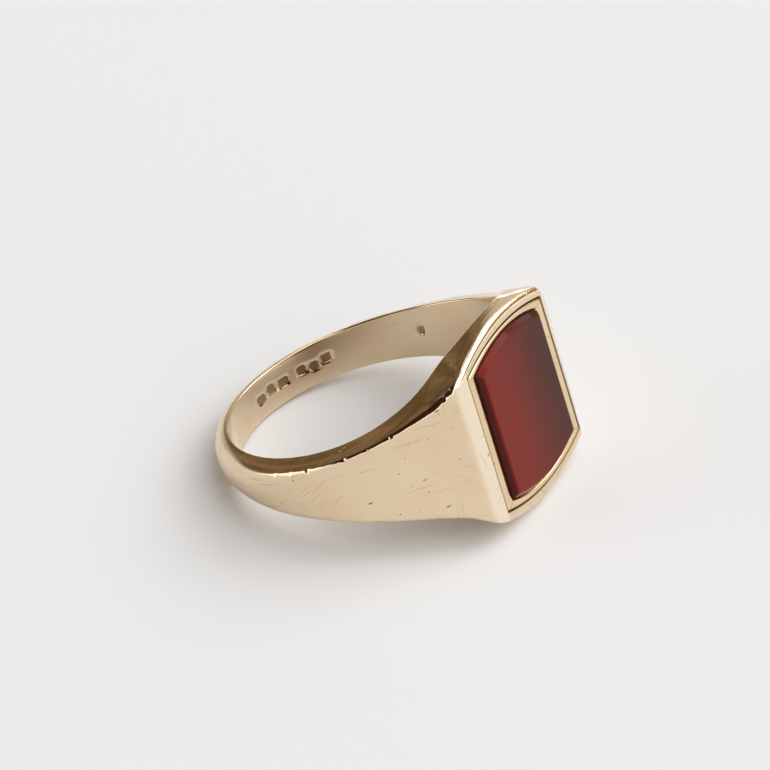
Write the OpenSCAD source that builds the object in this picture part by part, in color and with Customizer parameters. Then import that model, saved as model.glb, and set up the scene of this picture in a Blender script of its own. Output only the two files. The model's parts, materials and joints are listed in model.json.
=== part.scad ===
// Signet ring: a gold finger ring whose flat head holds a bevelled stone tablet in a
// four-piece mitred bezel. All lengths are in millimetres.
// Row frame: +Z up, +X towards the head, origin under the middle of the ring, on the surface
// that the ring lies on. The ring lies on its side, as it does when put down: the lower edge
// of the head and the lower edge of the back of the shank both touch the surface.

/* [Finger hole] */
// Diameter of the round finger hole
finger_hole_diameter = 17.6; // [15.6:0.2:20.6]

/* [Shank] */
// Radial thickness of the shank at its back
shank_back_thickness = 1.05; // [0.9:0.05:1.6]
// Radial thickness of the shank at its sides
shank_side_thickness = 1.4; // [1.2:0.05:1.8]
// Width of the shank along the finger, at its back
shank_back_width = 2.6; // [2.4:0.1:3.6]
// How much narrower the outside of the shank is than its inside edge, at each edge
shank_edge_taper = 0.5; // [0.2:0.05:0.6]

/* [Head] */
// Width of the head across the finger
head_width = 11.2; // [10.8:0.2:12.6]
// Length of the head's straight sides, along the finger
head_side_length = 9.4; // [9.4:0.2:10.4]
// Length of the head at its middle, along the finger
head_middle_length = 11.6; // [11.4:0.2:12.8]
// Depth of metal from the finger hole to the front of the head, at the middle
head_depth = 0.9; // [0.85:0.05:1.4]
// How far the inside edge of the head stands above its outside edge
head_edge_step = 0.35; // [0.15:0.05:0.4]
// How far the shoulder's crease meets the side of the head below its corner
head_corner_wear = 0.5; // [0.2:0.05:0.6]
// Radius of the worn edge around the head
head_edge_wear = 0.28; // [0.1:0.02:0.4]

/* [Setting] */
// Width of the pocket that takes the bezel
pocket_width = 9.4; // [9.2:0.1:9.8]
// Length of the pocket's straight sides
pocket_side_length = 8.7; // [8.5:0.1:8.8]
// Length of the pocket at its middle
pocket_middle_length = 10.2; // [10:0.1:10.4]
// Thickness of the pocket floor over the finger hole
pocket_floor = 0.25; // [0.2:0.05:0.3]
// Thickness of the bearing ledge that the stone rests on
ledge_thickness = 0.2; // [0.15:0.05:0.25]
// Width of the straight bezel rails
side_rail_width = 0.8; // [0.5:0.05:0.85]
// Width of the curved bezel rails
end_rail_width = 0.35; // [0.3:0.05:0.45]
// How far the rails stand above the front of the head
rail_stand = 0.04; // [0:0.02:0.1]
// Thickness of the cement around the stone
cement_width = 0.08; // [0.06:0.02:0.16]
// How far the cement stops below the rail tops
cement_drop = 0.2; // [0.1:0.05:0.3]

/* [Window] */
// Width of the open window behind the stone
window_width = 6.2; // [5:0.2:6.4]
// Length of the window's straight sides
window_side_length = 6.4; // [5:0.2:6.8]
// Length of the window at its middle
window_middle_length = 7.4; // [7:0.2:7.8]

/* [Stone] */
// How far the stone stands above the front of the head
stone_stand = 0.35; // [0.2:0.05:0.6]
// Width of the bevel around the stone's table, seen from the front
stone_bevel = 0.3; // [0.2:0.05:0.5]

/* [Hidden] */
$fn = 180;

gold = [0.83, 0.67, 0.42];
pale_gold = [0.87, 0.74, 0.52];
carnelian = [0.42, 0.13, 0.11];
cement_grey = [0.24, 0.17, 0.14];

hole_radius = finger_hole_diameter / 2;
side_radius = hole_radius + shank_side_thickness;
back_radius = hole_radius + shank_back_thickness;
front_plane = hole_radius + head_depth;
floor_plane = hole_radius + pocket_floor;
ledge_plane = floor_plane + ledge_thickness;
rail_plane = front_plane + rail_stand;
table_plane = front_plane + stone_stand;

// Inside edge of every section: a short overlap into the hole, and a softened edge beside it
hole_overlap = 1;
edge_softening = 0.2;

// Where the side of the head meets the shank's outside, seen along the finger
head_corner_angle = atan2(head_width / 2, front_plane);
head_corner_radius = norm([head_width / 2, front_plane]);
shoulder_angle = head_corner_angle + acos(side_radius / head_corner_radius);
corner_sharpness = 34;

// Up to this angle from the middle of the head, the flat front takes part in the outer radius
front_reach = 80;

// Shape of the flare from the shank to the head
flare_power = 3.1;
inner_flare_low_power = 2;
inner_flare_high_power = 5;
inner_flare_low_share = 0.32;
corner_blend = 4;
crease_blend_start = 92;
crease_blend_end = 132;

// Shape of the worn edge, as shares of its radius and of the crease's height
wear_on_facet = 1.4;
wear_on_face = 1.6;
most_of_face = 0.6;

// How far a cutting shape runs past what it cuts
overrun = 1;

// Angles at which the sections of the body are taken, from the middle of the head
head_angle_step = 2;
head_angle_end = 62;
shank_angle_step = 4.72;
half_angles = concat(
    [for (a = [0 : head_angle_step : head_angle_end]) a],
    [for (a = [head_angle_end + shank_angle_step : shank_angle_step : 180 - overrun]) a],
    [180]
);
half_count = len(half_angles);
angles = concat(
    half_angles,
    [for (i = [half_count - 2 : -1 : 1]) 360 - half_angles[i]]
);

facet_steps = 2;
bend_steps = 4;
face_steps = 3;

// Angle from the middle of the head, without its sign
function fold(a) = a > 180 ? 360 - a : a;

// 0 at the back of the shank, 1 at the corner of the head
function along(a) = (180 - a) / (180 - head_corner_angle);

// Smooth step from 0 to 1 between two angles
function ease(a, a0, a1) =
    a <= a0 ? 0 :
    a >= a1 ? 1 :
    0.5 - 0.5 * cos(180 * (a - a0) / (a1 - a0));

// Outer radius of the shank behind the shoulder
function shank_radius(a) =
    side_radius + (back_radius - side_radius) * ease(a, shoulder_angle, 180);

// Outer radius: the flat front, the straight shoulder, then the round shank
function shoulder_radius(a) =
    a < shoulder_angle ? side_radius / cos(a - shoulder_angle) : shank_radius(a);

function outer_radius(a) =
    a > front_reach ? shank_radius(a) :
    pow(
        pow(cos(a) / front_plane, corner_sharpness)
        + pow(1 / shoulder_radius(a), corner_sharpness),
        -1 / corner_sharpness
    );

// Half height of the head's outline at a distance across the finger
function head_half_height(across) =
    head_middle_length / 2
    - (head_middle_length - head_side_length) / 2 * pow(across / (head_width / 2), 2);

back_half = shank_back_width / 2;
outer_back_half = back_half - shank_edge_taper;

// Half height of the crease along the shank and the shoulder
function shank_crease_height(a) =
    outer_back_half
    + (head_side_length / 2 - head_corner_wear - outer_back_half) * pow(along(a), flare_power);

// Half height of the outside crease: the head's outline, then the shoulder and the shank
function crease_height(a) =
    let (
        w = ease(a, head_corner_angle - corner_blend, head_corner_angle + corner_blend),
        across = outer_radius(a) * sin(min(a, front_reach))
    )
    w == 0 ? head_half_height(across) :
    w == 1 ? shank_crease_height(a) :
    head_half_height(across) * (1 - w) + shank_crease_height(a) * w;

// Half height of the inside edge
function inner_height(a) =
    a < head_corner_angle
    ? head_half_height(head_width / 2 * a / head_corner_angle) + head_edge_step
    : back_half
      + (head_side_length / 2 + head_edge_step - back_half)
        * (inner_flare_low_share * pow(along(a), inner_flare_low_power)
           + (1 - inner_flare_low_share) * pow(along(a), inner_flare_high_power));

// A point on the bend around a corner
function bend(p, c, q, t) =
    (1 - t) * (1 - t) * p + 2 * t * (1 - t) * c + t * t * q;

// Upper half of the outside of a section with a flat facet and a flat face
function faceted_half(inner, crease) =
    let (
        facet = crease - inner,
        reach = min(1, head_edge_wear * wear_on_facet / norm(facet)),
        start = crease - facet * reach,
        drop = min(head_edge_wear * wear_on_face, crease[1] * most_of_face),
        finish = crease - [0, drop]
    )
    concat(
        [for (i = [0 : facet_steps - 1]) inner + (start - inner) * i / facet_steps],
        [for (i = [0 : bend_steps]) bend(start, crease, finish, i / bend_steps)],
        [for (i = [1 : face_steps]) finish - [0, finish[1]] * i / face_steps]
    );

// Upper half of the outside of a rounded section, with as many points as the faceted one
function rounded_half(inner, crease) =
    let (n = facet_steps + bend_steps + face_steps)
    [for (i = [0 : n])
        [
            inner[0] + (crease[0] - inner[0]) * sin(90 * i / n),
            inner[1] * cos(90 * i / n)
        ]
    ];

function outer_half(a) =
    let (
        inner = [hole_radius + edge_softening, inner_height(a)],
        crease = [outer_radius(a), crease_height(a)],
        b = ease(a, crease_blend_start, crease_blend_end),
        f = faceted_half(inner, crease),
        r = rounded_half(inner, crease)
    )
    [for (i = [0 : len(f) - 1]) f[i] * (1 - b) + r[i] * b];

// Closed outline of a section, as distance from the axis and height
function section(a) =
    let (
        half = outer_half(a),
        n = len(half),
        low = [hole_radius - hole_overlap, inner_height(a) - edge_softening]
    )
    concat(
        [low],
        half,
        [for (i = [n - 2 : -1 : 0]) [half[i][0], -half[i][1]]],
        [[low[0], -low[1]]]
    );

section_size = len(section(0));
body_points = [
    for (a = angles)
    for (p = section(fold(a)))
    [p[0] * cos(a), p[0] * sin(a), p[1]]
];
body_faces = [
    for (i = [0 : len(angles) - 1])
    for (j = [0 : section_size - 1])
    let (
        i2 = (i + 1) % len(angles),
        j2 = (j + 1) % section_size,
        a = i * section_size + j,
        b = i * section_size + j2,
        c = i2 * section_size + j2,
        d = i2 * section_size + j
    )
    for (face = i < len(angles) / 2 ? [[a, d, c], [a, c, b]] : [[a, d, b], [b, d, c]])
    face
];

// The ring lies on the lower edge of its head and the lower edge of its back
rest_tilt = atan2(
    inner_height(0) - inner_height(180),
    2 * (hole_radius + edge_softening)
);

function lie_down(p) = [
    p[0] * cos(rest_tilt) - p[2] * sin(rest_tilt),
    p[1],
    p[0] * sin(rest_tilt) + p[2] * cos(rest_tilt)
];

bezel_half_width = pocket_width / 2 - side_rail_width;
bezel_half_side = pocket_side_length / 2 - end_rail_width;
bezel_half_middle = pocket_middle_length / 2 - end_rail_width;
stone_half_width = bezel_half_width - cement_width;
stone_half_side = bezel_half_side - cement_width;
stone_half_middle = bezel_half_middle - cement_width;

// Every point that could be the outermost one, in the resting position
rest_points = [
    for (p = concat(body_points, [[table_plane, 0, stone_bevel - stone_half_middle]]))
    if (norm([p[0], p[1]]) > hole_radius)
    lie_down(p)
];
rest_x = [for (p = rest_points) p[0]];
rest_z = [for (p = rest_points) p[2]];
rest_shift = [-(min(rest_x) + max(rest_x)) / 2, 0, -min(rest_z)];

// Puts a piece that was drawn around the finger axis into the resting position
module rest_pose() {
    translate(rest_shift)
        rotate([0, -rest_tilt, 0])
            children();
}

// How far the wedge runs past the pocket, in rail widths
wedge_reach = 8;

// Radius of the arc through the corners and the middle of a curved end
function end_radius(half_width, half_side, half_middle) =
    (pow(half_width, 2) + pow(half_middle - half_side, 2)) / (2 * (half_middle - half_side));

// A disc along the X axis whose edge is the upper curved end
module end_disc(radius, half_middle, x0, x1) {
    translate([x0, 0, half_middle - radius])
        rotate([0, 90, 0])
            cylinder(r = radius, h = x1 - x0);
}

// A block with straight sides and curved ends, from x0 to x1
module curved_block(half_width, half_side, half_middle, x0, x1) {
    radius = end_radius(half_width, half_side, half_middle);
    intersection() {
        translate([x0, -half_width, -half_middle - overrun])
            cube([x1 - x0, 2 * half_width, 2 * (half_middle + overrun)]);
        end_disc(radius, half_middle, x0 - overrun, x1 + overrun);
        mirror([0, 0, 1])
            end_disc(radius, half_middle, x0 - overrun, x1 + overrun);
    }
}

module pocket_block(x0, x1) {
    curved_block(pocket_width / 2, pocket_side_length / 2, pocket_middle_length / 2, x0, x1);
}

module bezel_opening(x0, x1) {
    curved_block(bezel_half_width, bezel_half_side, bezel_half_middle, x0, x1);
}

module window_block(x0, x1) {
    curved_block(window_width / 2, window_side_length / 2, window_middle_length / 2, x0, x1);
}

module ring_body() {
    color(gold)
        rest_pose()
            difference() {
                polyhedron(points = body_points, faces = body_faces, convexity = 8);
                translate([0, 0, -head_middle_length])
                    cylinder(r = hole_radius, h = 2 * head_middle_length);
                pocket_block(floor_plane, front_plane + overrun);
                window_block(hole_radius - 2 * overrun, floor_plane + overrun);
            }
}

module bearing_ledge() {
    color(pale_gold)
        rest_pose()
            difference() {
                pocket_block(floor_plane, ledge_plane);
                window_block(floor_plane - overrun, ledge_plane + overrun);
            }
}

// Outline of a straight rail, cut to a mitre at both ends
module side_rail() {
    translate([ledge_plane, 0, 0])
        rotate([90, 0, 90])
            linear_extrude(height = rail_plane - ledge_plane)
                polygon([
                    [bezel_half_width, -bezel_half_side],
                    [pocket_width / 2, -pocket_side_length / 2],
                    [pocket_width / 2, pocket_side_length / 2],
                    [bezel_half_width, bezel_half_side]
                ]);
}

// Wedge between the two mitres of a curved rail
module end_wedge() {
    step = [pocket_width / 2 - bezel_half_width, pocket_side_length / 2 - bezel_half_side];
    apex = [0, bezel_half_side - bezel_half_width * step[1] / step[0]];
    tip = [bezel_half_width, bezel_half_side] + step * wedge_reach;
    translate([ledge_plane, 0, 0])
        rotate([90, 0, 90])
            linear_extrude(height = rail_plane - ledge_plane)
                polygon([apex, tip, [-tip[0], tip[1]]]);
}

module end_rail() {
    outer_radius = end_radius(pocket_width / 2, pocket_side_length / 2, pocket_middle_length / 2);
    inner_radius = end_radius(bezel_half_width, bezel_half_side, bezel_half_middle);
    intersection() {
        end_wedge();
        difference() {
            end_disc(
                outer_radius, pocket_middle_length / 2,
                ledge_plane - overrun, rail_plane + overrun
            );
            end_disc(
                inner_radius, bezel_half_middle,
                ledge_plane - 2 * overrun, rail_plane + 2 * overrun
            );
        }
    }
}

module upper_bezel_rail() {
    color(pale_gold)
        rest_pose()
            end_rail();
}

module lower_bezel_rail() {
    color(pale_gold)
        rest_pose()
            mirror([0, 0, 1])
                end_rail();
}

module left_bezel_rail() {
    color(pale_gold)
        rest_pose()
            mirror([0, 1, 0])
                side_rail();
}

module right_bezel_rail() {
    color(pale_gold)
        rest_pose()
            side_rail();
}

module setting_cement() {
    color(cement_grey)
        rest_pose()
            difference() {
                bezel_opening(ledge_plane, rail_plane - cement_drop);
                stone_block(ledge_plane - overrun, rail_plane + overrun);
            }
}

module stone_block(x0, x1) {
    curved_block(stone_half_width, stone_half_side, stone_half_middle, x0, x1);
}

// Round body whose edge is the stone's curved end, bevelled towards the table
module bevelled_end_disc() {
    radius = end_radius(stone_half_width, stone_half_side, stone_half_middle);
    translate([0, 0, stone_half_middle - radius])
        rotate([0, 90, 0])
            rotate_extrude()
                polygon([
                    [0, ledge_plane],
                    [radius, ledge_plane],
                    [radius, front_plane],
                    [radius - stone_bevel, table_plane],
                    [0, table_plane]
                ]);
}

module bevelled_sides() {
    translate([0, 0, -stone_half_middle - overrun])
        linear_extrude(height = 2 * (stone_half_middle + overrun))
            polygon([
                [ledge_plane, -stone_half_width],
                [front_plane, -stone_half_width],
                [table_plane, stone_bevel - stone_half_width],
                [table_plane, stone_half_width - stone_bevel],
                [front_plane, stone_half_width],
                [ledge_plane, stone_half_width]
            ]);
}

module seal_stone() {
    color(carnelian)
        rest_pose()
            intersection() {
                bevelled_sides();
                bevelled_end_disc();
                mirror([0, 0, 1])
                    bevelled_end_disc();
            }
}

ring_body();
bearing_ledge();
upper_bezel_rail();
lower_bezel_rail();
left_bezel_rail();
right_bezel_rail();
setting_cement();
seal_stone();
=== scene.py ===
import json
import math

import bmesh
import bpy
import numpy as np
from mathutils import Matrix, Vector, noise


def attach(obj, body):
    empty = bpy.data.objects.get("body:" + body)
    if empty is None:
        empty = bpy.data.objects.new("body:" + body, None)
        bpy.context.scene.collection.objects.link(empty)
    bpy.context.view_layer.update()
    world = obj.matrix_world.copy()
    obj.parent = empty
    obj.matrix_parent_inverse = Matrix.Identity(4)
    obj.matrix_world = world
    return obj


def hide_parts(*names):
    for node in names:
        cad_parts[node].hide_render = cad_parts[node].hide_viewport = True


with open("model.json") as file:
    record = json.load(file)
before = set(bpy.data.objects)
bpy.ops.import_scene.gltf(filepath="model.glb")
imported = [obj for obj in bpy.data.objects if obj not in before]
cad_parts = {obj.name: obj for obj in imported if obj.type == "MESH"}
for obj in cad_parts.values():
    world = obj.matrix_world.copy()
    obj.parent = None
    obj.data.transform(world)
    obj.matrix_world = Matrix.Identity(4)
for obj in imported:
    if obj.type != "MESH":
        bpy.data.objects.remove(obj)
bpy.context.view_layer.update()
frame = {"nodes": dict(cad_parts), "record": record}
MM = 0.001

# ---------------------------------------------------------------- sizes, in millimetres
HOLE_R = 8.8
SIDE_R = 10.2
BACK_R = 9.85
FRONT_X = 9.7
FLOOR_X = 9.05
LEDGE_X = 9.25
RAIL_X = 9.74
TABLE_X = 10.05
HEAD_HALF_W = 5.6
HEAD_HALF_SIDE = 4.7
HEAD_HALF_MID = 5.8
BACK_HALF = 1.3
OUTER_BACK_HALF = 0.8
EDGE_STEP = 0.35
CORNER_WEAR = 0.5
FLARE_POWER = 3.1
CORNER_SHARPNESS = 130
# half width, half length at the sides and half length in the middle
POCKET = (4.7, 4.35, 5.1)
BEZEL = (3.9, 4.0, 4.75)
WINDOW = (3.1, 3.2, 3.7)
STONE = (3.82, 3.92, 4.67)
STONE_BEVEL = 0.3

# wear and finish, in millimetres where they are not shares
EDGE_ROUND = 0.16  # rounding of the edge between the finger hole and the top facet
FACET_CROWN = 0.03  # bulge of the top facet against its width
NEAR_RIM_DROP = 0.16  # how far the rim is worn down on the ring's -Y side
FAR_RIM_DROP = 0.4  # the same on the +Y side, where it changes by RIM_DROP_CHANGE from end to end
RIM_DROP_CHANGE = 0.16
FAR_CORNER_DROP = 0.3  # how far the +Y side is worn inwards at its two ends
PUNCH_DEPTH = 0.06
SEAM = 0.012  # gap at the mitres of the rails
BEVEL_SHARE = 0.72  # width of the stone's bevel here, as a share of STONE_BEVEL in the CAD
STONE_SWELL = 0.05
GROOVE_HALF = 0.11  # half width of the darker band along the pocket's edge beside the rails

# points along a half section: hole wall, edge, facet, worn crease and face
N_WALL, N_EDGE, N_FACET, N_BEND, N_FACE = 17, 5, 12, 10, 15
HALF_TURN_SECTIONS = 331
SIDE_RAIL_POINTS, END_RAIL_POINTS = 49, 65

CORNER_A = math.degrees(math.atan2(HEAD_HALF_W, FRONT_X))
CORNER_R = math.hypot(HEAD_HALF_W, FRONT_X)
SHOULDER_A = CORNER_A + math.degrees(math.acos(SIDE_R / CORNER_R))

# ---------------------------------------------------------------- where the ring lies
bore = next(m for m in frame["record"]["mounts"] if m["name"] == "finger_bore")
TILT = math.atan2(-bore["axis"][0], bore["axis"][2])
SHIFT = np.array(bore["pos_m"])


def to_row(points):
    """Ring coordinates in mm (Z along the finger, X to the head) to the row frame in metres."""
    p = np.asarray(points, float)
    c, s = math.cos(TILT), math.sin(TILT)
    out = np.empty_like(p)
    out[:, 0] = p[:, 0] * c - p[:, 2] * s
    out[:, 1] = p[:, 1]
    out[:, 2] = p[:, 0] * s + p[:, 2] * c
    return out * MM + SHIFT


def make_object(name, points, faces):
    """A smooth-shaded mesh object from points in the ring's own frame."""
    mesh = bpy.data.meshes.new(name)
    mesh.from_pydata([tuple(p) for p in to_row(points)], [], [tuple(f) for f in faces])
    mesh.update()
    bm = bmesh.new()
    bm.from_mesh(mesh)
    bmesh.ops.recalc_face_normals(bm, faces=bm.faces)
    bm.to_mesh(mesh)
    bm.free()
    obj = bpy.data.objects.new(name, mesh)
    bpy.context.scene.collection.objects.link(obj)
    mesh.shade_smooth()
    return obj


def apply_boolean(obj, cutter):
    """Cuts the cutter out of the object and removes the cutter."""
    mod = obj.modifiers.new("cut", "BOOLEAN")
    mod.operation = "DIFFERENCE"
    mod.solver = "EXACT"
    mod.object = cutter
    deps = bpy.context.evaluated_depsgraph_get()
    mesh = bpy.data.meshes.new_from_object(obj.evaluated_get(deps))
    obj.modifiers.remove(mod)
    old = obj.data
    obj.data = mesh
    bpy.data.meshes.remove(old)
    bpy.data.objects.remove(cutter)


def sharpen(obj, angle):
    """Smooth shading that breaks at edges sharper than the angle."""
    mesh = obj.data
    mesh.shade_smooth()
    mesh.set_sharp_from_angle(angle=math.radians(angle))


# ---------------------------------------------------------------- curved-block outlines
def outline(shape, grow, per_end=64, per_side=40):
    """Closed loop (y, z) with straight sides and arched ends, moved outwards by grow."""
    half_w, half_side, half_mid = shape
    rho = (half_w ** 2 + (half_mid - half_side) ** 2) / (2 * (half_mid - half_side))
    centre = half_mid - rho
    w, r = half_w + grow, rho + grow
    corner = centre + math.sqrt(r * r - w * w)
    top = [(w * math.cos(math.pi * i / per_end), None) for i in range(per_end + 1)]
    top = [(y, centre + math.sqrt(r * r - y * y)) for y, _ in top]
    left = [(-w, corner * math.cos(math.pi * i / per_side)) for i in range(1, per_side)]
    bottom = [(-y, -z) for y, z in top]
    right = [(-y, -z) for y, z in left]
    return np.array(top + left + bottom + right)


def loft(loops):
    """Points and faces of a closed solid through loops of the same length."""
    n = len(loops[0])
    points = np.vstack(loops)
    faces = []
    for k in range(len(loops) - 1):
        for i in range(n):
            j = (i + 1) % n
            faces.append((k * n + i, k * n + j, (k + 1) * n + j, (k + 1) * n + i))
    faces.append(tuple(range(n)))
    faces.append(tuple(range((len(loops) - 1) * n, len(loops) * n)))
    return points, faces


def block_loops(shape, levels):
    """Loops of an arched block, one for each (x, grow)."""
    out = []
    for x, grow in levels:
        yz = outline(shape, grow)
        out.append(np.column_stack([np.full(len(yz), x), yz]))
    return out


# ---------------------------------------------------------------- ring body
def ease(a, a0, a1):
    """0 below a0, 1 above a1 and a smooth step between."""
    t = np.clip((a - a0) / (a1 - a0), 0, 1)
    return 0.5 - 0.5 * np.cos(np.pi * t)


def outer_radius(a):
    """Distance from the finger's axis to the outside, at an angle from the head in degrees."""
    shank = SIDE_R + (BACK_R - SIDE_R) * ease(a, SHOULDER_A, 180)
    t = np.radians(np.minimum(a, 80))
    line = SIDE_R / np.cos(np.radians(np.clip(a - SHOULDER_A, -80, 0)))
    shoulder = np.where(a < SHOULDER_A, line, shank)
    k = CORNER_SHARPNESS
    both = ((np.cos(t) / FRONT_X) ** k + (1 / shoulder) ** k) ** (-1 / k)
    return np.where(a > 80, shank, both)


def head_half_height(y):
    """Half the head's length at a distance from its middle."""
    return HEAD_HALF_MID - (HEAD_HALF_MID - HEAD_HALF_SIDE) * (y / HEAD_HALF_W) ** 2


def along(a):
    """0 at the back of the shank, 1 at the corner of the head."""
    return np.clip((180 - a) / (180 - CORNER_A), 0, 1.3)


def crease_height(a):
    """Height of the outside crease, which drops a little at the worn corner of the head."""
    head = head_half_height(outer_radius(a) * np.sin(np.radians(np.minimum(a, 60))))
    side = HEAD_HALF_SIDE - CORNER_WEAR
    shank = OUTER_BACK_HALF + (side - OUTER_BACK_HALF) * along(a) ** FLARE_POWER
    w = ease(a, CORNER_A - 4, CORNER_A + 10)
    return head * (1 - w) + shank * w


def inner_height(a):
    """Height of the edge of the finger hole, a little above the outside crease."""
    head = head_half_height(HEAD_HALF_W * np.minimum(a, 50) / CORNER_A) + EDGE_STEP
    flare = 0.32 * along(a) ** 2 + 0.68 * along(a) ** 5
    shank = BACK_HALF + (HEAD_HALF_SIDE + EDGE_STEP - BACK_HALF) * flare
    w = ease(a, CORNER_A - 11, CORNER_A + 11)
    return head * (1 - w) + shank * w


def smooth_steps(n):
    return np.linspace(0, 1, n, endpoint=False)


def bezier(p, c, q, t):
    """Quadratic curve from p to q with its control point at c."""
    return (1 - t)[:, None] ** 2 * p + 2 * (t * (1 - t))[:, None] * c + t[:, None] ** 2 * q


def half_section(a):
    """Upper half of a section at angle a, from the middle of the hole wall to the middle of the face."""
    hi, ro, zc = float(inner_height(a)), float(outer_radius(a)), float(crease_height(a))
    corner = np.array([HOLE_R, hi - 0.03])
    crease = np.array([ro, zc])
    facet = crease - corner
    direction = facet / np.linalg.norm(facet)
    wall_top = corner - np.array([0, EDGE_ROUND])
    facet_start = corner + direction * EDGE_ROUND
    wear = 0.17 + 0.12 * float(ease(a, 72, 105))
    wear = wear + 0.14 * float(1 - ease(a, 24, 34)) + 0.12 * float(1 - ease(a, 36, 58))
    crease_start = crease - direction * wear
    crease_end = crease - np.array([0, min(wear * 1.3, zc * 0.6)])
    middle = np.array([ro, 0.0])
    wall = np.array([HOLE_R, 0.0]) + (wall_top - np.array([HOLE_R, 0.0])) * smooth_steps(N_WALL)[:, None]
    edge = bezier(wall_top, corner, facet_start, smooth_steps(N_EDGE))
    u = smooth_steps(N_FACET)[:, None]
    out = np.array([-direction[1], direction[0]])
    crown = FACET_CROWN * np.linalg.norm(facet) * 4 * u ** 2 * (1 - u)
    flat = facet_start + (crease_start - facet_start) * u + out * crown
    bend = bezier(crease_start, crease, crease_end, smooth_steps(N_BEND))
    face = crease_end + (middle - crease_end) * np.linspace(0, 1, N_FACE + 1)[:, None]
    outer = np.vstack([flat, bend, face])
    t = np.linspace(0, np.pi / 2, len(outer))
    round_x = facet_start[0] + (ro - facet_start[0]) * np.sin(t)
    back = np.column_stack([round_x, facet_start[1] * np.cos(t)])
    b = float(ease(a, 92, 132))
    outer = outer * (1 - b) + back * b
    return np.vstack([wall, edge, outer])


def section(a):
    """The whole closed section at angle a."""
    half = half_section(a)
    lower = half[1:-1][::-1] * np.array([1, -1])
    return np.vstack([half, lower])


def body_angles():
    """Angles around the ring, closest together at the corners of the head."""
    dense = np.linspace(0, 1, HALF_TURN_SECTIONS)
    a = 180 * (0.6 * dense + 0.4 * dense ** 2)
    return np.concatenate([a, 360 - a[1:-1][::-1]])


def unevenness(p, scale, seed):
    """Smooth noise from -1 to 1 at a point."""
    return noise.noise(Vector(p) * scale + Vector((seed, seed * 1.7, seed * 0.3)))


# Dents along the worn crease and the shank's edge: angle from the head, height against the crease's,
# radius and depth
NICKS = [
    (-35.0, 0.97, 0.22, 0.03), (-37.5, 0.99, 0.12, 0.025), (-40.0, 1.0, 0.14, 0.03), (-42.5, 1.0, 0.1, 0.025),
    (-46.5, 1.0, 0.14, 0.03), (-54.0, 0.98, 0.2, 0.05), (-56.0, 1.0, 0.14, 0.04), (-63.0, 1.0, 0.15, 0.03),
    (-71.0, 1.0, 0.2, 0.05), (-84.0, 0.97, 0.22, 0.05), (-91.0, 1.0, 0.24, 0.05), (-97.0, 0.96, 0.2, 0.04),
    (-31.0, 0.9, 0.3, 0.04), (-28.5, 1.02, 0.2, 0.04), (36.0, 1.0, 0.25, 0.05), (58.0, 1.0, 0.2, 0.05),
    (74.0, 1.0, 0.2, 0.04), (-107.0, 1.2, 0.22, 0.03), (-109.5, 1.35, 0.2, 0.035), (-112.0, 1.15, 0.2, 0.03),
    (-113.5, 1.4, 0.18, 0.03), (-116.0, 1.25, 0.24, 0.035), (-119.0, 1.3, 0.2, 0.03),
    (-47.0, -1.0, 0.25, 0.05), (-66.0, -1.0, 0.2, 0.05), (52.0, -1.0, 0.25, 0.05),
]


def wear_down(points):
    """Slightly wavy metal, rougher at the worn crease, with a worn rim and a few dents."""
    radial = np.hypot(points[:, 0], points[:, 1])
    angle = np.degrees(np.arctan2(points[:, 1], points[:, 0]))
    fold = np.abs(angle)
    crease_r, crease_z = outer_radius(fold), crease_height(fold)
    near = np.hypot(radial - crease_r, np.abs(points[:, 2]) - crease_z)
    outside = np.clip((radial - HOLE_R - 0.05) / 0.3, 0, 1)
    out = points.copy()
    for i, p in enumerate(points):
        edge_weight = math.exp(-(near[i] / 0.22) ** 2)
        push = outside[i] * (0.006 * unevenness(p, 0.45, 3.1) + 0.011 * edge_weight * unevenness(p, 2.6, 8.7))
        out[i, :2] += p[:2] / radial[i] * push
        out[i, 2] += math.copysign(0.009 * edge_weight * unevenness(p, 3.1, 5.3), p[2])
    x, y, z = points.T
    rim = ease(y, POCKET[0], HEAD_HALF_W) * ease(x, FRONT_X - 1, FRONT_X)
    near_rim = ease(-y, POCKET[0] + 0.25, HEAD_HALF_W) * ease(x, FRONT_X - 0.5, FRONT_X)
    out[:, 0] -= NEAR_RIM_DROP * near_rim
    out[:, 0] -= rim * (FAR_RIM_DROP - RIM_DROP_CHANGE * z / HEAD_HALF_SIDE)
    out[:, 1] -= rim * FAR_CORNER_DROP * ease(np.abs(z), HEAD_HALF_SIDE - 1.1, HEAD_HALF_SIDE)
    for nick_angle, share, radius, depth in NICKS:
        r = float(outer_radius(abs(nick_angle)))
        t = math.radians(nick_angle)
        up = share * float(crease_height(abs(nick_angle)))
        centre = np.array([r * math.cos(t), r * math.sin(t), up])
        away = np.linalg.norm(points - centre, axis=1) / radius
        hit = np.clip(1 - away ** 2, 0, 1) ** 2 * depth * outside
        inward = np.array([-math.cos(t), -math.sin(t), -0.8 * math.copysign(1, share)])
        out += hit[:, None] * inward / np.linalg.norm(inward)
    return out


# Blank punch dents on the wall of the finger hole: angle, height, half length and half width
PUNCHES = [
    (140.0, 0.1, 0.42, 0.34), (145.5, -0.05, 0.36, 0.36), (151.0, 0.05, 0.42, 0.34),
    (160.5, 0.0, 0.5, 0.36), (167.0, 0.1, 0.4, 0.36), (173.5, -0.05, 0.46, 0.34), (101.0, 0.15, 0.24, 0.32),
]


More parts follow.
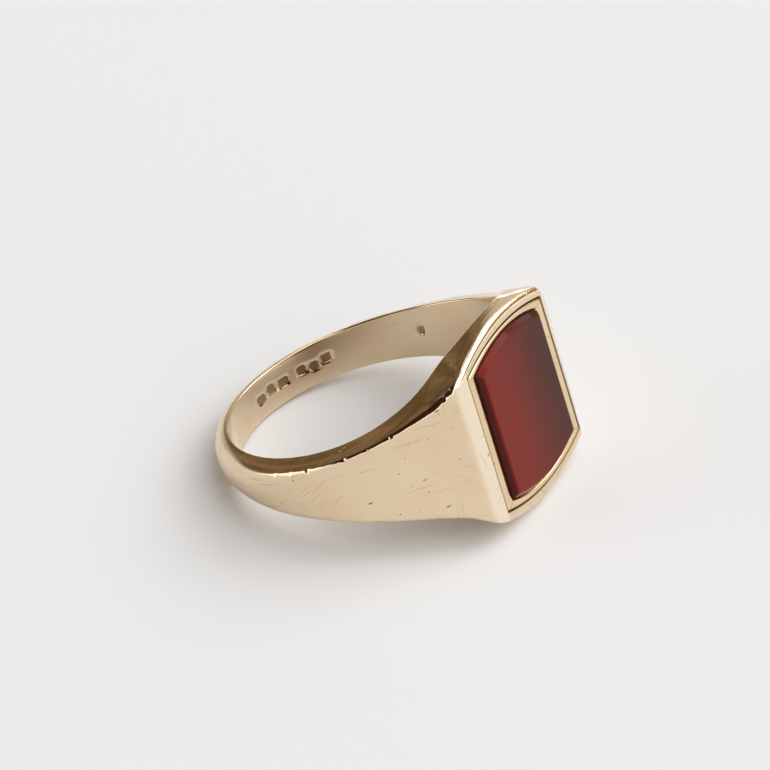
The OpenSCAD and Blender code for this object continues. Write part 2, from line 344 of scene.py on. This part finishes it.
def punch(points):
    """Presses flat-bottomed dents with soft edges into the wall."""
    out = points.copy()
    radial = np.hypot(points[:, 0], points[:, 1])
    angle = np.degrees(np.arctan2(points[:, 1], points[:, 0]))
    wall = radial < HOLE_R + 0.02
    for centre, height, half_long, half_wide in PUNCHES:
        along_wall = np.radians(angle - centre) * HOLE_R / half_long
        across = (points[:, 2] - height) / half_wide
        edge = (np.abs(along_wall) ** 4 + np.abs(across) ** 4) ** 0.25
        depth = PUNCH_DEPTH * (1 - np.clip((edge - 0.75) / 0.35, 0, 1)) * wall
        out[:, 0] += points[:, 0] / radial * depth
        out[:, 1] += points[:, 1] / radial * depth
    return out


def in_punch(point):
    """True on the tarnished floor of a punch dent."""
    angle = math.degrees(math.atan2(point[1], point[0]))
    for centre, height, half_long, half_wide in PUNCHES:
        along_wall = math.radians(angle - centre) * HOLE_R / half_long
        across = (point[2] - height) / half_wide
        if along_wall ** 4 + across ** 4 < 0.4 and math.hypot(point[0], point[1]) < HOLE_R + 0.1:
            return True
    return False


def build_body():
    """Shank and head in one mesh, with the pocket and the window cut out."""
    angles = body_angles()
    rings = []
    for a in angles:
        s = section(a if a <= 180 else 360 - a)
        t = math.radians(a)
        rings.append(np.column_stack([s[:, 0] * math.cos(t), s[:, 0] * math.sin(t), s[:, 1]]))
    n = len(rings[0])
    count = len(angles)
    points = punch(wear_down(np.vstack(rings)))
    faces = []
    for i in range(count):
        i2 = (i + 1) % count
        for j in range(n):
            j2 = (j + 1) % n
            faces.append((i * n + j, i * n + j2, i2 * n + j2, i2 * n + j))
    body = make_object("signet_body", points, faces)
    body.data.materials.append(gold)
    body.data.materials.append(gold_dark)
    for face, corners in zip(body.data.polygons, faces):
        if in_punch(points[list(corners)].mean(0)):
            face.material_index = 1
    worn_mouth = [(FRONT_X - 0.16, 0), (FRONT_X - 0.05, 0.03), (FRONT_X + 0.02, 0.09), (FRONT_X + 1, 0.09)]
    pocket_loops = block_loops(POCKET, [(FLOOR_X, 0)] + worn_mouth)
    apply_boolean(body, make_object("pocket_cutter", *loft(pocket_loops)))
    window_loops = block_loops(WINDOW, [(HOLE_R - 2, 0), (FLOOR_X + 0.6, 0)])
    apply_boolean(body, make_object("window_cutter", *loft(window_loops)))
    sharpen(body, 40)
    return body


# ---------------------------------------------------------------- bezel rails
def rail_profile():
    """Closed profile of a rail: u runs from the pocket wall to the stone, x is the height."""
    top = RAIL_X
    return [
        (0.0, LEDGE_X), (0.0, top - 0.3), (0.03, top - 0.2), (0.08, top - 0.11), (0.15, top - 0.045),
        (0.24, top - 0.008), (0.36, top), (0.5, top - 0.002), (0.66, top - 0.01), (0.8, top - 0.028),
        (0.9, top - 0.06), (0.97, top - 0.12), (1.0, top - 0.2), (1.0, LEDGE_X),
    ]


def rail_corner(u):
    """Mitre line of the rails, from the pocket's corner to the stone's."""
    y = POCKET[0] + (BEZEL[0] - POCKET[0]) * u
    z = POCKET[1] + (BEZEL[1] - POCKET[1]) * u
    return y, z


def side_rail(name, sign):
    """Straight rail along one side of the head."""
    rows = []
    for u, x in rail_profile():
        y, z = rail_corner(u)
        s = np.linspace(-1, 1, SIDE_RAIL_POINTS)
        rows.append(np.column_stack([np.full_like(s, x), np.full_like(s, sign * y), s * (z - SEAM)]))
    return strip(name, rows)


def end_rail(name, sign):
    """Arched rail along one end of the head."""
    rows = []
    for u, x in rail_profile():
        y, z = rail_corner(u)
        mid = POCKET[2] + (BEZEL[2] - POCKET[2]) * u
        rho = (y * y + (mid - z) ** 2) / (2 * (mid - z))
        yy = np.linspace(-1, 1, END_RAIL_POINTS) * (y - SEAM)
        zz = mid - rho + np.sqrt(rho * rho - yy * yy)
        rows.append(np.column_stack([np.full_like(yy, x), yy, sign * zz]))
    return strip(name, rows)


def strip(name, rows):
    """Closed solid through the rows of points along a rail's profile."""
    n = len(rows[0])
    m = len(rows)
    points = np.vstack(rows)
    faces = []
    for k in range(m):
        k2 = (k + 1) % m
        for i in range(n - 1):
            faces.append((k * n + i, k * n + i + 1, k2 * n + i + 1, k2 * n + i))
    faces.append(tuple(k * n for k in range(m)))
    faces.append(tuple(k * n + n - 1 for k in range(m)))
    obj = make_object(name, points, faces)
    sharpen(obj, 45)
    return obj


# ---------------------------------------------------------------- stone
def build_stone():
    """Bevelled tablet that swells a little above the rails' inner edge."""
    b = STONE_BEVEL * BEVEL_SHARE
    out = STONE_SWELL
    levels = [
        (LEDGE_X, -0.04), (LEDGE_X + 0.04, 0), (9.45, 0), (9.56, 0.01), (FRONT_X - 0.06, out),
        (FRONT_X - 0.012, out), (FRONT_X + 0.015, out - 0.018),
    ]
    girdle = FRONT_X + 0.07
    for t in np.linspace(0, 0.9, 7):
        levels.append((girdle + t * (TABLE_X - FRONT_X - 0.07), out - 0.02 - t * (b + out)))
    levels += [(TABLE_X - 0.028, -b * 0.96), (TABLE_X - 0.01, -b - 0.02), (TABLE_X, -b - 0.06)]
    loops = block_loops(STONE, levels)
    table = loops[-1]
    for k in (0.96, 0.9, 0.82, 0.7, 0.55, 0.38, 0.2):
        inner = table.copy()
        inner[:, 1:] *= k
        loops.append(inner)
    points, faces = loft(loops)
    stone = make_object("carnelian_tablet", points, faces)
    sharpen(stone, 38)
    return stone


# ---------------------------------------------------------------- materials
def new_material(name):
    """A material with one Principled shader."""
    mat = bpy.data.materials.new(name)
    mat.use_nodes = True
    tree = mat.node_tree
    tree.nodes.clear()
    out = tree.nodes.new("ShaderNodeOutputMaterial")
    shader = tree.nodes.new("ShaderNodeBsdfPrincipled")
    tree.links.new(shader.outputs["BSDF"], out.inputs["Surface"])
    return mat, tree, shader


def coords(tree):
    """Object coordinates in millimetres."""
    tc = tree.nodes.new("ShaderNodeTexCoord")
    mp = tree.nodes.new("ShaderNodeMapping")
    mp.inputs["Scale"].default_value = (1000, 1000, 1000)
    tree.links.new(tc.outputs["Object"], mp.inputs["Vector"])
    return mp.outputs["Vector"]


def math_node(tree, op, a, b=None):
    n = tree.nodes.new("ShaderNodeMath")
    n.operation = op
    for i, v in enumerate((a, b)):
        if v is None:
            continue
        if isinstance(v, (int, float)):
            n.inputs[i].default_value = v
        else:
            tree.links.new(v, n.inputs[i])
    return n.outputs[0]


def noise_node(tree, vec, scale, detail=3.0, rough=0.5):
    n = tree.nodes.new("ShaderNodeTexNoise")
    n.inputs["Scale"].default_value = scale
    n.inputs["Detail"].default_value = detail
    n.inputs["Roughness"].default_value = rough
    tree.links.new(vec, n.inputs["Vector"])
    return n.outputs["Fac"]


def times(tree, a, b):
    return math_node(tree, "MULTIPLY", a, b)


def ramp(tree, value, lo, hi, out_lo=0.0, out_hi=1.0):
    """A smooth step of the value between lo and hi."""
    n = tree.nodes.new("ShaderNodeMapRange")
    n.interpolation_type = "SMOOTHSTEP"
    n.inputs["From Min"].default_value = lo
    n.inputs["From Max"].default_value = hi
    n.inputs["To Min"].default_value = out_lo
    n.inputs["To Max"].default_value = out_hi
    tree.links.new(value, n.inputs["Value"])
    return n.outputs["Result"]


def mix_color(tree, fac, a, b):
    n = tree.nodes.new("ShaderNodeMix")
    n.data_type = "RGBA"
    if isinstance(fac, float):
        n.inputs[0].default_value = fac
    else:
        tree.links.new(fac, n.inputs[0])
    for i, v in ((6, a), (7, b)):
        if isinstance(v, tuple):
            n.inputs[i].default_value = (*v, 1)
        else:
            tree.links.new(v, n.inputs[i])
    return n.outputs[2]


def plane_vector(tree, sep, first, second):
    """A flat coordinate made of two of the object's axes."""
    n = tree.nodes.new("ShaderNodeCombineXYZ")
    tree.links.new(sep.outputs[first], n.inputs["X"])
    tree.links.new(sep.outputs[second], n.inputs["Y"])
    return n.outputs["Vector"]


def dashes(tree, flat, angle, length, spacing, keep, half_width, seed):
    """Straight marks that lie one way, about as many as keep says, at random places on a plane."""
    turn = tree.nodes.new("ShaderNodeMapping")
    turn.vector_type = "POINT"
    turn.inputs["Rotation"].default_value = (0, 0, math.radians(angle))
    turn.inputs["Location"].default_value = (seed * 7.31, seed * 3.77, 0)
    tree.links.new(flat, turn.inputs["Vector"])
    squeeze = tree.nodes.new("ShaderNodeMapping")
    squeeze.inputs["Scale"].default_value = (1 / length, 1 / spacing, 1)
    tree.links.new(turn.outputs["Vector"], squeeze.inputs["Vector"])
    cells = tree.nodes.new("ShaderNodeTexVoronoi")
    cells.voronoi_dimensions = "2D"
    cells.inputs["Scale"].default_value = 1.0
    tree.links.new(squeeze.outputs["Vector"], cells.inputs["Vector"])
    reach = half_width / spacing
    mark = ramp(tree, cells.outputs["Distance"], reach * 0.3, reach, 1.0, 0.0)
    chance = tree.nodes.new("ShaderNodeSeparateColor")
    tree.links.new(cells.outputs["Color"], chance.inputs["Color"])
    kept = math_node(tree, "LESS_THAN", chance.outputs["Red"], keep)
    strength = ramp(tree, chance.outputs["Green"], 0.0, 1.0, 0.35, 1.0)
    return times(tree, times(tree, mark, kept), strength)


# Angle, length over which one mark is expected, and share of marks kept
HAIRLINES = ((-14, 13, 0.6), (-22, 9, 0.5), (36, 12, 0.3), (-50, 8, 0.22), (80, 7, 0.14))


def marks_on_plane(tree, flat, facing, seed, amount):
    """Fine hairlines that mostly run one way, and a few short digs."""
    lines = None
    for i, (angle, length, keep) in enumerate(HAIRLINES):
        d = dashes(tree, flat, angle, length, 0.24, keep * amount, 0.026, seed + i)
        lines = d if lines is None else math_node(tree, "MAXIMUM", lines, d)
    pits = dashes(tree, flat, -32, 2.6, 0.8, 0.16 * amount, 0.055, seed + 9)
    dots = dashes(tree, flat, 15, 0.9, 0.5, 0.16 * amount, 0.042, seed + 11)
    pits = math_node(tree, "MAXIMUM", pits, dots)
    return times(tree, lines, facing), times(tree, pits, facing)


def to_ring_frame(tree, vec):
    """Object coordinates in mm, turned and moved into the ring's own frame."""
    shift = tree.nodes.new("ShaderNodeMapping")
    shift.inputs["Location"].default_value = tuple(-1000 * v for v in SHIFT)
    tree.links.new(vec, shift.inputs["Vector"])
    turn = tree.nodes.new("ShaderNodeMapping")
    turn.inputs["Rotation"].default_value = (0, TILT, 0)
    tree.links.new(shift.outputs["Vector"], turn.inputs["Vector"])
    sep = tree.nodes.new("ShaderNodeSeparateXYZ")
    tree.links.new(turn.outputs["Vector"], sep.inputs[0])
    return sep


def length_node(tree, a, b):
    """Length of a flat vector."""
    square = math_node(tree, "ADD", math_node(tree, "POWER", a, 2.0), math_node(tree, "POWER", b, 2.0))
    return math_node(tree, "SQRT", square)


def groove_mask(tree, ring, shape, half_width):
    """1 along the outline of an arched block near the front of the head, 0 elsewhere."""
    half_w, half_side, half_mid = shape
    rho = (half_w ** 2 + (half_mid - half_side) ** 2) / (2 * (half_mid - half_side))
    y = math_node(tree, "ABSOLUTE", ring.outputs["Y"])
    z = math_node(tree, "ABSOLUTE", ring.outputs["Z"])
    side = math_node(tree, "SUBTRACT", y, half_w)
    up = math_node(tree, "SUBTRACT", z, half_mid - rho)
    radial = length_node(tree, y, up)
    arch = math_node(tree, "SUBTRACT", radial, rho)
    away = math_node(tree, "ABSOLUTE", math_node(tree, "MAXIMUM", side, arch))
    line = ramp(tree, away, half_width * 0.35, half_width, 1.0, 0.0)
    front = ramp(tree, ring.outputs["X"], FRONT_X - 0.5, FRONT_X - 0.3)
    return times(tree, line, front)


def gold_material(name, light, deep, rough, amount=1.0):
    """Worn gold: clouded colour, hairlines, pits, a painted highlight on the lands beside the pocket and a
    darker band beside the rails.
    """
    mat, tree, shader = new_material(name)
    vec = coords(tree)
    shader.inputs["Metallic"].default_value = 1.0
    sep = tree.nodes.new("ShaderNodeSeparateXYZ")
    tree.links.new(vec, sep.inputs[0])
    tc = tree.nodes.new("ShaderNodeTexCoord")
    facing = tree.nodes.new("ShaderNodeSeparateXYZ")
    tree.links.new(tc.outputs["Normal"], facing.inputs[0])
    lines, pits = None, None
    for seed, (axis, first, second) in enumerate((("Y", "X", "Z"), ("Z", "X", "Y"), ("X", "Y", "Z"))):
        faces_axis = ramp(tree, math_node(tree, "ABSOLUTE", facing.outputs[axis]), 0.55, 0.7)
        flat = plane_vector(tree, sep, first, second)
        new_lines, new_pits = marks_on_plane(tree, flat, faces_axis, 1 + 20 * seed, amount)
        lines = new_lines if lines is None else math_node(tree, "MAXIMUM", lines, new_lines)
        pits = new_pits if pits is None else math_node(tree, "MAXIMUM", pits, new_pits)
    ring = to_ring_frame(tree, vec)
    radial = length_node(tree, ring.outputs["X"], ring.outputs["Y"])
    outside = ramp(tree, radial, HOLE_R + 0.02, HOLE_R + 0.12, 0.3, 1.0)
    lines = times(tree, lines, outside)
    pits = times(tree, pits, outside)
    groove = groove_mask(tree, ring, POCKET, GROOVE_HALF)
    cloud = ramp(tree, noise_node(tree, vec, 0.35, 3), 0.35, 0.7)
    base = mix_color(tree, cloud, light, deep)
    y = math_node(tree, "ABSOLUTE", ring.outputs["Y"])
    # Painted highlight: the lands of the head's front beside the pocket are mixed towards a pale gold that
    # stands in for a bright reflection there.
    front = ramp(tree, ring.outputs["X"], FRONT_X - 0.42, FRONT_X - 0.16)
    edge_weight = times(tree, front, ramp(tree, y, POCKET[0] + 0.02, POCKET[0] + 0.12))
    base = mix_color(tree, times(tree, edge_weight, 0.8), base, (0.98, 0.86, 0.68))
    base = mix_color(tree, times(tree, lines, 0.6), base, (0.32, 0.2, 0.09))
    base = mix_color(tree, times(tree, pits, 0.85), base, (0.12, 0.065, 0.03))
    # darker, rougher band along the pocket's edge beside the rails
    base = mix_color(tree, times(tree, groove, 0.85), base, (0.2, 0.12, 0.05))
    tree.links.new(base, shader.inputs["Base Color"])
    grain = noise_node(tree, vec, 3.0, 4, 0.6)
    r = ramp(tree, grain, 0.3, 0.7, rough * 0.8, rough * 1.35)
    r = math_node(tree, "ADD", r, times(tree, lines, 0.15))
    r = math_node(tree, "ADD", r, times(tree, groove, 0.3))
    tree.links.new(r, shader.inputs["Roughness"])
    fine = noise_node(tree, vec, 14, 3, 0.6)
    height = times(tree, fine, 0.0012)
    height = math_node(tree, "SUBTRACT", height, times(tree, lines, 0.005))
    height = math_node(tree, "SUBTRACT", height, times(tree, pits, 0.03))
    bump = tree.nodes.new("ShaderNodeBump")
    bump.inputs["Strength"].default_value = 1.0
    bump.inputs["Distance"].default_value = MM
    tree.links.new(height, bump.inputs["Height"])
    tree.links.new(bump.outputs["Normal"], shader.inputs["Normal"])
    return mat


def stone_material():
    """Polished carnelian, red on one side, brown on the other, with painted shade darkening the bevels along
    its long sides.
    """
    mat, tree, shader = new_material("carnelian_polished")
    vec = coords(tree)
    cloud = ramp(tree, noise_node(tree, vec, 0.22, 3, 0.5), 0.35, 0.7)
    sep = tree.nodes.new("ShaderNodeSeparateXYZ")
    tree.links.new(vec, sep.inputs[0])
    across = ramp(tree, sep.outputs["Y"], -3.0, 4.0)
    base = mix_color(tree, across, (0.185, 0.012, 0.006), (0.038, 0.014, 0.009))
    base = mix_color(tree, times(tree, cloud, 0.35), base, (0.11, 0.012, 0.008))
    ring = to_ring_frame(tree, vec)
    away = math_node(tree, "ABSOLUTE", ring.outputs["Y"])
    # Painted shade: the bevels along the stone's long sides are darkened towards near black.
    rim = ramp(tree, away, STONE[0] - 0.24, STONE[0] - 0.1)
    base = mix_color(tree, times(tree, rim, 0.75), base, (0.03, 0.008, 0.006))
    tree.links.new(base, shader.inputs["Base Color"])
    grain = noise_node(tree, vec, 2.5, 3, 0.5)
    tree.links.new(ramp(tree, grain, 0.3, 0.7, 0.05, 0.1), shader.inputs["Roughness"])
    shader.inputs["IOR"].default_value = 1.54
    shader.inputs["Specular IOR Level"].default_value = 0.14
    shader.inputs["Specular Tint"].default_value = (1.0, 0.86, 0.74, 1.0)
    shader.inputs["Subsurface Weight"].default_value = 0.5
    shader.inputs["Subsurface Radius"].default_value = (0.0014, 0.0003, 0.0002)
    shader.inputs["Subsurface Scale"].default_value = 1.0
    bump = tree.nodes.new("ShaderNodeBump")
    bump.inputs["Distance"].default_value = MM
    fine = times(tree, noise_node(tree, vec, 1.2, 2, 0.5), 0.006)
    tree.links.new(fine, bump.inputs["Height"])
    tree.links.new(bump.outputs["Normal"], shader.inputs["Normal"])
    return mat


def cement_material():
    mat, tree, shader = new_material("dark_cement")
    vec = coords(tree)
    grain = noise_node(tree, vec, 6, 4, 0.6)
    base = mix_color(tree, grain, (0.02, 0.012, 0.008), (0.07, 0.04, 0.025))
    tree.links.new(base, shader.inputs["Base Color"])
    tree.links.new(ramp(tree, grain, 0.3, 0.7, 0.5, 0.75), shader.inputs["Roughness"])
    bump = tree.nodes.new("ShaderNodeBump")
    bump.inputs["Distance"].default_value = MM
    tree.links.new(times(tree, grain, 0.05), bump.inputs["Height"])
    tree.links.new(bump.outputs["Normal"], shader.inputs["Normal"])
    return mat


def give(obj, mat):
    """Puts one material on the whole object."""
    obj.data.materials.clear()
    obj.data.materials.append(mat)


GOLD_LIGHT = (0.83, 0.665, 0.465)
GOLD_DEEP = (0.80, 0.625, 0.42)

gold = gold_material("gold_worn", GOLD_LIGHT, GOLD_DEEP, 0.085)
gold_bezel = gold_material("gold_bezel", (0.84, 0.66, 0.43), (0.80, 0.60, 0.36), 0.09, 0.6)
gold_rough = gold_material("gold_inside", (0.8, 0.62, 0.38), (0.7, 0.5, 0.28), 0.3, 0.6)
gold_dark = gold_material("gold_tarnished", (0.36, 0.25, 0.15), (0.24, 0.16, 0.1), 0.3)
carnelian = stone_material()
cement = cement_material()

body = build_body()
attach(body, "root")
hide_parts("ring_body")

for name, maker, sign, cad in (
    ("rail_left", side_rail, -1, "left_bezel_rail"),
    ("rail_right", side_rail, 1, "right_bezel_rail"),
    ("rail_upper", end_rail, 1, "upper_bezel_rail"),
    ("rail_lower", end_rail, -1, "lower_bezel_rail"),
):
    rail = maker(name, sign)
    give(rail, gold_bezel)
    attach(rail, "root")
    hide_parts(cad)

stone = build_stone()
give(stone, carnelian)
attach(stone, "root")
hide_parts("seal_stone")

give(frame["nodes"]["bearing_ledge"], gold_rough)
give(frame["nodes"]["setting_cement"], cement)


# ---------------------------------------------------------------- floor, lights, camera
def build_floor():
    size = 2.0
    mesh = bpy.data.meshes.new("floor")
    corners = [(-size, -size, 0), (size, -size, 0), (size, size, 0), (-size, size, 0)]
    mesh.from_pydata(corners, [], [(0, 1, 2, 3)])
    floor = bpy.data.objects.new("floor", mesh)
    bpy.context.scene.collection.objects.link(floor)
    mat, tree, shader = new_material("floor_pale")
    shader.inputs["Base Color"].default_value = (0.86, 0.855, 0.85, 1)
    shader.inputs["Roughness"].default_value = 0.6
    shader.inputs["Specular IOR Level"].default_value = 0.2
    give(floor, mat)


def area_light(name, direction, distance, size, power, color, target=(0, 0, 0.004)):
    """A rectangular light in a direction from the ring, facing it."""
    data = bpy.data.lights.new(name, "AREA")
    data.shape = "RECTANGLE"
    data.size, data.size_y = size
    data.energy = power
    data.color = color
    obj = bpy.data.objects.new(name, data)
    bpy.context.scene.collection.objects.link(obj)
    d = Vector(direction).normalized()
    obj.location = Vector(target) + d * distance
    obj.rotation_euler = d.to_track_quat("Z", "Y").to_euler()
    return obj


def toward(tree, sky, direction):
    """How closely a sky direction follows the given one."""
    dot = tree.nodes.new("ShaderNodeVectorMath")
    dot.operation = "DOT_PRODUCT"
    dot.inputs[1].default_value = direction
    tree.links.new(sky, dot.inputs[0])
    return dot.outputs["Value"]


# Colours of the room
PALE = (1.47, 1.5, 1.55)
GREY = (0.72, 0.68, 0.6)
BROWN_DARK = (0.13, 0.09, 0.045)
BROWN_LIGHT = (0.24, 0.17, 0.1)
BROWN_FRONT = (0.04, 0.016, 0.011)
OLIVE = (0.34, 0.27, 0.13)


def build_world():
    """A pale room with a dim brown part at the back left and overhead, and an olive band far right."""
    world = bpy.data.worlds.new("studio")
    bpy.context.scene.world = world
    world.use_nodes = True
    tree = world.node_tree
    tree.nodes.clear()
    out = tree.nodes.new("ShaderNodeOutputWorld")
    back = tree.nodes.new("ShaderNodeBackground")
    tc = tree.nodes.new("ShaderNodeTexCoord")
    sky = tc.outputs["Generated"]
    sep = tree.nodes.new("ShaderNodeSeparateXYZ")
    tree.links.new(sky, sep.inputs[0])
    height = sep.outputs["Z"]
    north = sep.outputs["Y"]
    around = ramp(tree, toward(tree, sky, (-0.92, -0.39, 0)), -0.3, -0.15)
    high = ramp(tree, height, math.sin(math.radians(60)), math.sin(math.radians(70)), 1.0, 0.0)
    slope = toward(tree, sky, (-0.6, 0, 0.8))
    back_left = times(tree, times(tree, ramp(tree, slope, 0.44, 0.8), high), ramp(tree, north, -0.3, -0.1))
    arch = toward(tree, sky, (0.823, 0.549, 0.143))
    overhead = times(tree, ramp(tree, arch, -0.84, -0.72), ramp(tree, arch, 0.08, 0.18, 1.0, 0.0))
    overhead = times(tree, overhead, ramp(tree, height, 0.08, 0.2))
    dim = math_node(tree, "MAXIMUM", back_left, overhead)
    dim = times(tree, dim, around)
    front = ramp(tree, north, 0.0, -0.4)
    cloud = ramp(tree, noise_node(tree, sky, 3.2, 3, 0.6), 0.38, 0.62)
    brown = mix_color(tree, cloud, BROWN_DARK, BROWN_LIGHT)
    brown = mix_color(tree, front, brown, BROWN_FRONT)
    grey = times(tree, ramp(tree, slope, 0.15, 0.4), ramp(tree, north, 0.2, 0.5))
    color = mix_color(tree, grey, PALE, GREY)
    color = mix_color(tree, dim, color, brown)
    band = times(tree, ramp(tree, height, 0.02, 0.1), ramp(tree, height, 0.25, 0.34, 1.0, 0.0))
    band = times(tree, band, ramp(tree, toward(tree, sky, (0.64, 0.77, 0)), 0.5, 0.75))
    color = mix_color(tree, band, color, OLIVE)
    tree.links.new(color, back.inputs["Color"])
    back.inputs["Strength"].default_value = 1.0
    tree.links.new(back.outputs["Background"], out.inputs["Surface"])


def build_camera():
    """Long lens from the front left of the ring, rolled a little."""
    az, el, roll = (math.radians(v) for v in (28.52, 32.93, -3.05))
    distance, lens = 0.3414, 276.0
    target = Vector((-0.00063, 0.00073, 0.00461))
    back = Vector((math.sin(az) * math.cos(el), -math.cos(az) * math.cos(el), math.sin(el)))
    right0 = Vector((0, 0, 1)).cross(back).normalized()
    up0 = back.cross(right0)
    right = right0 * math.cos(roll) + up0 * math.sin(roll)
    up = up0 * math.cos(roll) - right0 * math.sin(roll)
    data = bpy.data.cameras.new("camera")
    data.lens = lens
    data.sensor_width = 36
    data.clip_start = 0.01
    data.clip_end = 20
    cam = bpy.data.objects.new("camera", data)
    bpy.context.scene.collection.objects.link(cam)
    m = Matrix((right, up, back)).transposed().to_4x4()
    m.translation = target + back * distance
    cam.matrix_world = m
    bpy.context.scene.camera = cam


build_floor()
build_world()
area_light("key_back", (0.52, 0.55, 0.6), 1.0, (0.72, 0.64), 3.0, (0.97, 0.985, 1.0))
fill = area_light("fill_top", (0.0, 0.0, 1.0), 1.5, (3.0, 3.0), 9, (0.95, 0.98, 1.0))
fill.visible_glossy = False
area_light("window_low", (-0.5, 0.83, 0.03), 1.5, (0.5, 0.16), 0.4, (1.0, 0.95, 0.88))
build_camera()
bpy.context.scene.view_settings.view_transform = "Standard"
